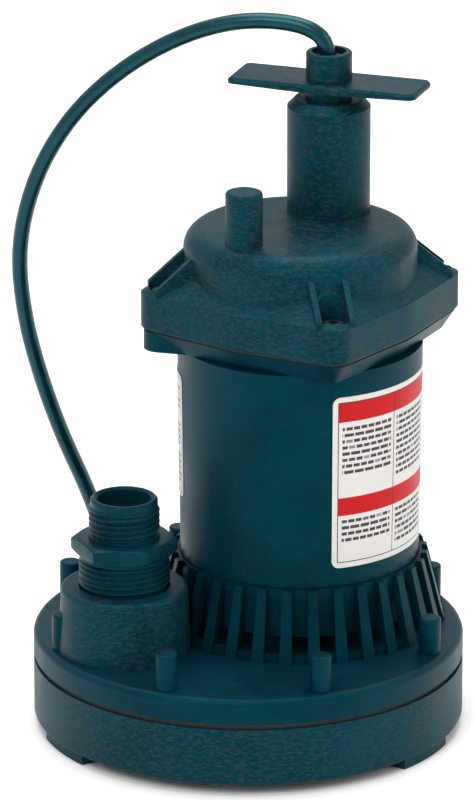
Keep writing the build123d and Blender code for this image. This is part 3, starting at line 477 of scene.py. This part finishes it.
def makeAdapter(material):
    low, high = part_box("discharge_adapter")
    centre = ((low[0] + high[0]) / 2, (low[1] + high[1]) / 2)
    upper, lower, bore = adapter["upperRadius"], adapter["lowerRadius"], adapter["bore"]
    hexLow, hexTop, depth = adapter["hexLow"], adapter["hexTop"], adapter["threadDepth"]
    lowerRoot, upperRoot = lower - depth, upper - depth
    core = turnProfile([
        (bore, low[2]),
        (lowerRoot - 0.8 * mm, low[2]),
        (lowerRoot, low[2] + 0.8 * mm),
        (lowerRoot, hexLow - 1.6 * mm),
        (lower - 0.2 * mm, hexLow - 1.2 * mm),
        (lower - 0.2 * mm, hexLow + 1.0 * mm),
        (upper - 0.1 * mm, hexTop - 1.0 * mm),
        (upper - 0.1 * mm, hexTop + 1.0 * mm),
        (upperRoot, hexTop + 1.6 * mm),
        (upperRoot, high[2] - 4.6 * mm),
        (upperRoot + 0.35 * mm, high[2] - 4.2 * mm),
        (upperRoot + 0.35 * mm, high[2] - 0.9 * mm),
        (upperRoot - 0.5 * mm, high[2]),
        (bore + 0.9 * mm, high[2]),
        (bore, high[2] - 0.9 * mm),
    ], centre)
    across = adapter["hexFlats"] / 2
    corner = across / cos(pi / 6)
    collar = turnProfile([
        (upper - 2.0 * mm, hexLow),
        (across - 0.3 * mm, hexLow),
        (corner + 0.2 * mm, hexLow + adapter["hexChamfer"]),
        (corner + 0.2 * mm, hexTop - adapter["hexChamfer"]),
        (across - 0.3 * mm, hexTop),
        (upper - 2.0 * mm, hexTop),
    ], centre)
    deselectAll()
    bpy.ops.mesh.primitive_cylinder_add(
        vertices=6,
        radius=corner,
        depth=hexTop - hexLow + 1.0 * mm,
        location=(centre[0], centre[1], (hexLow + hexTop) / 2),
        rotation=(0, 0, radians(adapter["hexTurn"])),
    )
    flats = bpy.context.object
    deselectAll()
    collar.select_set(True)
    bpy.context.view_layer.objects.active = collar
    cut = collar.modifiers.new("flats", "BOOLEAN")
    cut.operation = "INTERSECT"
    cut.object = flats
    bpy.ops.object.modifier_apply(modifier=cut.name)
    bpy.data.objects.remove(flats)
    edges = collar.modifiers.new("edges", "BEVEL")
    edges.width = adapter["edgeRounding"]
    edges.segments = 2
    edges.limit_method = "ANGLE"
    edges.angle_limit = radians(25)
    bpy.ops.object.modifier_apply(modifier=edges.name)
    upperRidge = threadRidge(centre, upper, hexTop + adapter["runOut"], adapter["upperTurns"])
    lowerStart = hexLow - adapter["runOut"] - adapter["pitch"] * adapter["lowerTurns"]
    lowerRidge = threadRidge(centre, lower, lowerStart, adapter["lowerTurns"])
    piece = joinPieces([core, collar, upperRidge, lowerRidge])
    return finishPiece(piece, "threadedAdapter", material)


threadedAdapter = makeAdapter(adapterPlastic)
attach(threadedAdapter, "pump")
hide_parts("discharge_adapter")
print("threaded adapter ready")

# ---- printed labels, wrapped on the housing

housingLow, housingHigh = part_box("motor_housing")
labels = {
    "centre": ((housingLow[0] + housingHigh[0]) / 2, (housingLow[1] + housingHigh[1]) / 2),
    "footRadius": 45.2 * mm,      # the housing's side at its foot and at its top
    "topRadius": 46.3 * mm,
    "footHeight": 63.6 * mm,
    "topHeight": 149.0 * mm,
    "thick": 0.15 * mm,
    "corner": 3.0 * mm,
    "columnStep": 2.5,            # degrees of bend between two columns of points
    "rule": 0.35,                 # the print's own sizes are in millimetres, and so is its map
    "rowHeight": 2.44,
    "markInset": 1.6,
}
stickers = {
    "side_label": {
        "name": "sideSticker", "start": -103, "end": -3, "margin": 2.2,
        "bands": [(57.7, 65.4), (20.7, 27.8)],
        "rowsByColumn": [[(15, 23), (4, 8)], [(13, 23), (2, 8)], [(13, 23), (3, 8)]],
    },
    "data_label": {
        "name": "dataSticker", "start": -222, "end": -192, "margin": 1.6,
        "bands": [],
        "rowsByColumn": [[(2, 7), (8, 12), (14, 18)]],
    },
}


def areaMask(tree, axes, areas):
    # white inside any of the areas, each its middle and half size across and then upwards
    mask = None
    for middleU, halfU, middleV, halfV in areas:
        across = addNode(tree, "ShaderNodeMath", {1: middleU, 2: halfU}, {0: axes.outputs["X"]},
                         operation="COMPARE")
        upright = addNode(tree, "ShaderNodeMath", {1: middleV, 2: halfV}, {0: axes.outputs["Y"]},
                          operation="COMPARE")
        both = addNode(tree, "ShaderNodeMath", links={0: across.outputs[0], 1: upright.outputs[0]},
                       operation="MULTIPLY")
        if mask:
            both = addNode(tree, "ShaderNodeMath", links={0: mask.outputs[0], 1: both.outputs[0]},
                           operation="MAXIMUM")
        mask = both
    return mask


def printedPaper(name, sheet, width, height):
    # coated paper under a clear film: bright white and smooth, with flat red bands, thin dark rules and
    # rows of small grey marks in place of words
    material, tree, shader = newMaterial(name)
    place = addNode(tree, "ShaderNodeUVMap", uv_map="print").outputs["UV"]
    axes = addNode(tree, "ShaderNodeSeparateXYZ", links={"Vector": place})
    margin, rule, rowHeight = sheet["margin"], labels["rule"], labels["rowHeight"]
    columns = len(sheet["rowsByColumn"])
    column = (width - 2 * margin) / columns
    red = [(width / 2, width / 2 - margin, (a + b) / 2, (b - a) / 2) for a, b in sheet["bands"]]
    dark = [(width / 2, width / 2 - margin, at, rule / 2) for at in (margin, height - margin)]
    dark += [(margin + column * k, rule / 2, height / 2, height / 2 - margin) for k in range(columns + 1)]
    words = []
    for k, rows in enumerate(sheet["rowsByColumn"]):
        for first, last in rows:
            middle, half = (first + last) / 2 * rowHeight, (last - first) / 2 * rowHeight
            words.append((margin + column * (k + 0.5), column / 2 - labels["markInset"], middle, half))
    redMask, darkMask, wordMask = (areaMask(tree, axes, areas) for areas in (red, dark, words))
    # a row's marks are about 1.1 mm high and 2.5 mm long, some of them left out
    flattened = 0.45
    drawnOut = addNode(tree, "ShaderNodeMapping", {"Scale": (1.0, flattened, 1.0)}, {"Vector": place})
    marks = addNode(tree, "ShaderNodeTexBrick", {
        "Color1": (1, 1, 1, 1), "Color2": (0, 0, 0, 1), "Mortar": (0, 0, 0, 1), "Scale": 1.0,
        "Mortar Size": 0.3, "Mortar Smooth": 0.2, "Bias": -0.35, "Brick Width": 3.1,
        "Row Height": rowHeight * flattened,
    }, {"Vector": drawnOut.outputs["Vector"]}, offset=0.37, squash=1.4, squash_frequency=3)
    inked = addNode(tree, "ShaderNodeMapRange", {"From Min": 0.2, "From Max": 0.45},
                    {"Value": marks.outputs["Color"]})
    worded = addNode(tree, "ShaderNodeMath", links={0: inked.outputs["Result"], 1: wordMask.outputs[0]},
                     operation="MULTIPLY")
    fading = addNode(tree, "ShaderNodeTexNoise", {"Scale": 0.12, "Detail": 2.0}, {"Vector": place})
    paper = addNode(tree, "ShaderNodeValToRGB", links={"Fac": fading.outputs["Fac"]})
    paper.color_ramp.elements[0].color = toLinear("#c6c3c0")
    paper.color_ramp.elements[1].color = toLinear("#d0cdca")
    colour = paper.outputs["Color"]
    for mask, ink in ((redMask, "#b3030b"), (darkMask, "#2c2a2c"), (worded, "#3c3a3c")):
        if mask:
            over = addNode(tree, "ShaderNodeMix", {7: toLinear(ink)}, {0: mask.outputs[0], 6: colour},
                           data_type="RGBA")
            colour = over.outputs[2]
    film = addNode(tree, "ShaderNodeMapRange",
                   {"From Min": 0.3, "From Max": 0.7, "To Min": 0.38, "To Max": 0.5},
                   {"Value": fading.outputs["Fac"]})
    fibre = addNode(tree, "ShaderNodeTexNoise", {"Scale": 2.5, "Detail": 2.0}, {"Vector": place})
    bump = addNode(tree, "ShaderNodeBump", {"Strength": 0.1, "Distance": 0.03 * mm},
                   {"Height": fibre.outputs["Fac"]})
    wireSurface(tree, shader, colour, film.outputs["Result"], bump.outputs["Normal"])
    shader.inputs["Specular IOR Level"].default_value = 0.18
    return material


def makeLabel(node, sheet):
    arc = radians(sheet["end"] - sheet["start"])
    slope = (labels["topRadius"] - labels["footRadius"]) / (labels["topHeight"] - labels["footHeight"])
    low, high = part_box(node)
    middle = (low[2] + high[2]) / 2
    radius = labels["footRadius"] + slope * (middle - labels["footHeight"])
    width, height = arc * radius, high[2] - low[2]
    deselectAll()
    bpy.ops.mesh.primitive_plane_add(size=1, rotation=(pi / 2, 0, 0))
    piece = bpy.context.object
    piece.scale = (width, height, 1)
    bpy.ops.object.transform_apply(location=True, rotation=True, scale=True)
    bpy.ops.object.mode_set(mode="EDIT")
    bpy.ops.mesh.select_all(action="SELECT")
    bpy.ops.mesh.bevel(offset=labels["corner"], segments=6, affect="VERTICES")
    steps = int(degrees(arc) / labels["columnStep"])
    for k in range(1, steps):
        bpy.ops.mesh.select_all(action="SELECT")
        bpy.ops.mesh.bisect(plane_co=(width * (k / steps - 0.5), 0, 0), plane_no=(1, 0, 0))
    bpy.ops.object.mode_set(mode="OBJECT")
    prints = piece.data.uv_layers.new(name="print")
    for loop in piece.data.loops:
        spot = piece.data.vertices[loop.vertex_index].co
        prints.data[loop.index].uv = ((spot.x + width / 2) / mm, (spot.z + height / 2) / mm)
    for vertex in piece.data.vertices:
        # each column goes to its angle round the motor, each row to the housing's radius there
        turn = radians(sheet["start"]) + (vertex.co.x / width + 0.5) * arc
        reach = labels["footRadius"] + slope * (vertex.co.z + middle - labels["footHeight"]) + labels["thick"]
        centre = labels["centre"]
        vertex.co = (centre[0] + reach * cos(turn), centre[1] + reach * sin(turn), vertex.co.z + middle)
    piece.data.uv_layers.active = prints
    skin = piece.modifiers.new("skin", "SOLIDIFY")
    skin.thickness = labels["thick"]
    skin.offset = -1
    bpy.ops.object.modifier_apply(modifier=skin.name)
    printed = printedPaper(sheet["name"] + "Print", sheet, width / mm, height / mm)
    return finishPiece(piece, sheet["name"], printed)


for node, sheet in stickers.items():
    sticker = makeLabel(node, sheet)
    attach(sticker, "pump")
    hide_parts(node)
print("labels ready")

# ---- moulded plug, its grips and its tapered relief

plug = {
    "back": 3.0,
    "front": 34.0,
    "across": 21.0,
    "height": 30.0,
    "width": 24.0,
    "depth": 20.0,
    "reliefLength": 9.0,
    "neckLength": 5.0,
    "rounding": 3.2,
    "gripDepth": 1.2,
    "gripCount": 5,
    "gripStep": 3.4,
    "gripStart": 4.5,
    "gripSize": (1.5, 2.2, 12.0),
    "reliefRings": 4,
    "ringStep": 1.7,
    "ringFlare": 0.35,
}


def makePlug(material):
    # modelled along the coil's own directions, in millimetres, then turned with the coil
    deselectAll()
    bodyBack = plug["back"] + plug["reliefLength"]
    length = plug["front"] - bodyBack
    bpy.ops.mesh.primitive_cube_add(size=1, location=(bodyBack + length / 2, plug["across"], plug["height"]))
    body = bpy.context.object
    body.scale = (length, plug["width"] - 2 * plug["gripDepth"], plug["depth"] - 2 * plug["gripDepth"])
    bpy.ops.object.transform_apply(location=True, rotation=False, scale=True)
    bpy.ops.object.mode_set(mode="EDIT")
    bpy.ops.mesh.select_all(action="DESELECT")
    bpy.ops.object.mode_set(mode="OBJECT")
    for face in body.data.polygons:
        face.select = face.normal.x < -0.9
    bpy.ops.object.mode_set(mode="EDIT")
    bpy.ops.mesh.select_mode(type="FACE")
    bpy.ops.mesh.extrude_region_move(TRANSFORM_OT_translate={"value": (-plug["neckLength"], 0, 0)})
    bpy.ops.transform.resize(value=(1, 0.52, 0.56))
    bpy.ops.mesh.select_mode(type="VERT")
    bpy.ops.object.mode_set(mode="OBJECT")
    rounded = body.modifiers.new("rounded", "BEVEL")
    rounded.width = plug["rounding"]
    rounded.segments = 5
    bpy.ops.object.modifier_apply(modifier=rounded.name)
    parts = [body]
    for side in (-1, 1):
        for k in range(plug["gripCount"]):
            deselectAll()
            at = plug["front"] - plug["gripStart"] - k * plug["gripStep"]
            aside = plug["across"] + side * (plug["width"] / 2 - plug["gripDepth"])
            bpy.ops.mesh.primitive_cube_add(size=1, location=(at, aside, plug["height"]))
            grip = bpy.context.object
            grip.scale = plug["gripSize"]
            bpy.ops.object.transform_apply(location=True, rotation=False, scale=True)
            soft = grip.modifiers.new("soft", "BEVEL")
            soft.width = 0.6
            soft.segments = 3
            bpy.ops.object.modifier_apply(modifier=soft.name)
            parts.append(grip)
    half = cord["diameter"] / mm / 2
    gripOnCord = half - 0.2
    outline = [(gripOnCord, plug["back"])]
    for k in range(plug["reliefRings"]):
        # each ring is a little wider than the one behind it, with a groove before the next
        at = plug["back"] + k * plug["ringStep"]
        ring, groove = half + 0.9 + k * plug["ringFlare"], half + 0.5 + k * 0.3
        outline += [(ring, at), (ring + 0.3, at + 1.1), (groove, at + 1.15), (groove, at + 1.65)]
    outline += [(half + 2.2, bodyBack), (gripOnCord, bodyBack)]
    relief = turnProfile(outline, (0, 0), 40)
    deselectAll()
    relief.select_set(True)
    bpy.context.view_layer.objects.active = relief
    relief.rotation_euler = (0, pi / 2, 0)
    relief.location = (0, plug["across"], plug["height"])
    bpy.ops.object.transform_apply(location=True, rotation=True, scale=True)
    parts.append(relief)
    piece = joinPieces(parts)
    piece.scale = (mm, mm, mm)
    piece.rotation_euler = (0, 0, radians(cord["coilTurn"]))
    piece.location = (cord["coilCentre"][0] * mm, cord["coilCentre"][1] * mm, 0)
    return finishPiece(piece, "mouldedPlug", material)


mouldedPlug = makePlug(plugVinyl)
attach(mouldedPlug, "pump")
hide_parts("plug_body")
print("plug ready")
